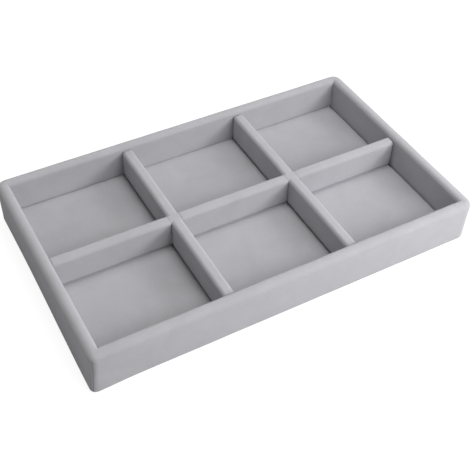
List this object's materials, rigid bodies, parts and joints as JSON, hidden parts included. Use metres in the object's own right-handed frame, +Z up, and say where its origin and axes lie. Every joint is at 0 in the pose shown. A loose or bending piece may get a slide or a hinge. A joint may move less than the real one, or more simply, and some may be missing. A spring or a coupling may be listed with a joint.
{
  "type": "divided jewelry tray",
  "caption": "Shallow velvet-covered rectangular tray with a soft rounded rim, a padded floor and a lift-out grid of slotted dividers that part it into equal compartments for jewelry.",
  "frame": {"origin": "middle of the underside, on the surface the tray stands on", "axes": "+X along the tray's long side, to the right seen from the front; -Y is the front, the long side nearest the camera in the picture; +Z up"},
  "size_m": [0.35, 0.2112, 0.0406],
  "materials": {
    "velvet": "short-pile velvet, soft sheen",
    "fibreboard": "bare sawn fibreboard",
    "card": "matt grey card",
    "foam": "matt open-cell foam",
    "cover_sheet": "matt pressed-fibre sheet"
  },
  "bodies": {
    "tray": {"base_cover_sheet": "cover_sheet", "base_board": "fibreboard", "front_wall_board": "fibreboard", "back_wall_board": "fibreboard", "left_wall_board": "fibreboard", "right_wall_board": "fibreboard", "wall_velvet": "velvet", "floor_card": "card", "floor_foam": "foam", "floor_velvet": "velvet"},
    "long_divider": {"long_divider_board": "fibreboard", "long_divider_velvet": "velvet"},
    "cross_divider_left": {"cross_divider_left_board": "fibreboard", "cross_divider_left_velvet": "velvet"},
    "cross_divider_right": {"cross_divider_right_board": "fibreboard", "cross_divider_right_velvet": "velvet"}
  },
  "joints": [
    {"name": "long_divider_lift", "type": "slide", "parent": "tray", "child": "long_divider", "axis": [0, 0, 1], "range_m": [0, 0.032]},
    {"name": "cross_divider_left_lift", "type": "slide", "parent": "long_divider", "child": "cross_divider_left", "axis": [0, 0, 1], "range_m": [0, 0.032]},
    {"name": "cross_divider_right_lift", "type": "slide", "parent": "long_divider", "child": "cross_divider_right", "axis": [0, 0, 1], "range_m": [0, 0.032]}
  ]
}
